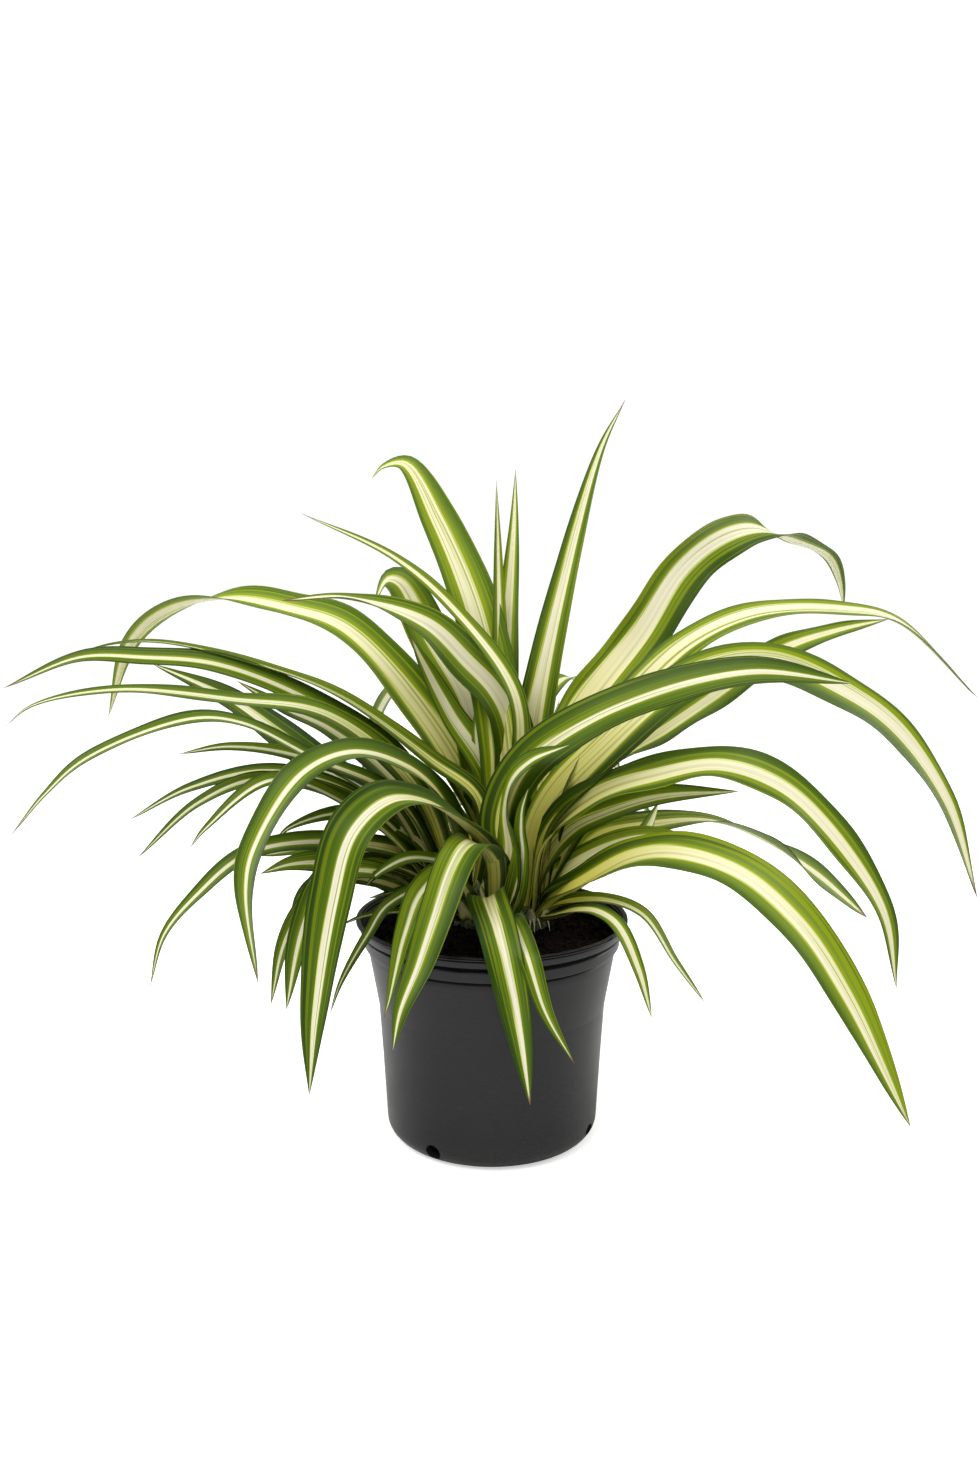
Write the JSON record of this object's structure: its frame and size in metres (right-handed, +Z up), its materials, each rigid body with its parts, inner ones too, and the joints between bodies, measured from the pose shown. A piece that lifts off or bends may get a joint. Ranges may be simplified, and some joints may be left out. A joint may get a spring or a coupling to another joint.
{
  "type": "potted spider plant",
  "caption": "Variegated spider plant: a clump of arching, cream-striped strap leaves growing from soil in a tapered black nursery pot.",
  "frame": {"origin": "middle of the pot's flat underside, on the pot's axis", "axes": "+Z up along the pot's axis, +X to the right across the plant's widest spread, -Y the side from which it is usually seen"},
  "size_m": [0.6162, 0.4189, 0.4472],
  "materials": {
    "pot_plastic": "charcoal black moulded plastic, satin, with fine mould lines",
    "soil": "dark moist potting mix, rough crumbs",
    "leaf": "waxy satin blade, green margins and a cream central stripe with thin yellow-green lines"
  },
  "bodies": {
    "root": {"pot": "pot_plastic", "soil": "soil", "rosette_centre": "leaf", "rosette_right": "leaf", "rosette_left": "leaf", "rosette_front": "leaf", "rosette_back": "leaf"}
  },
  "joints": []
}
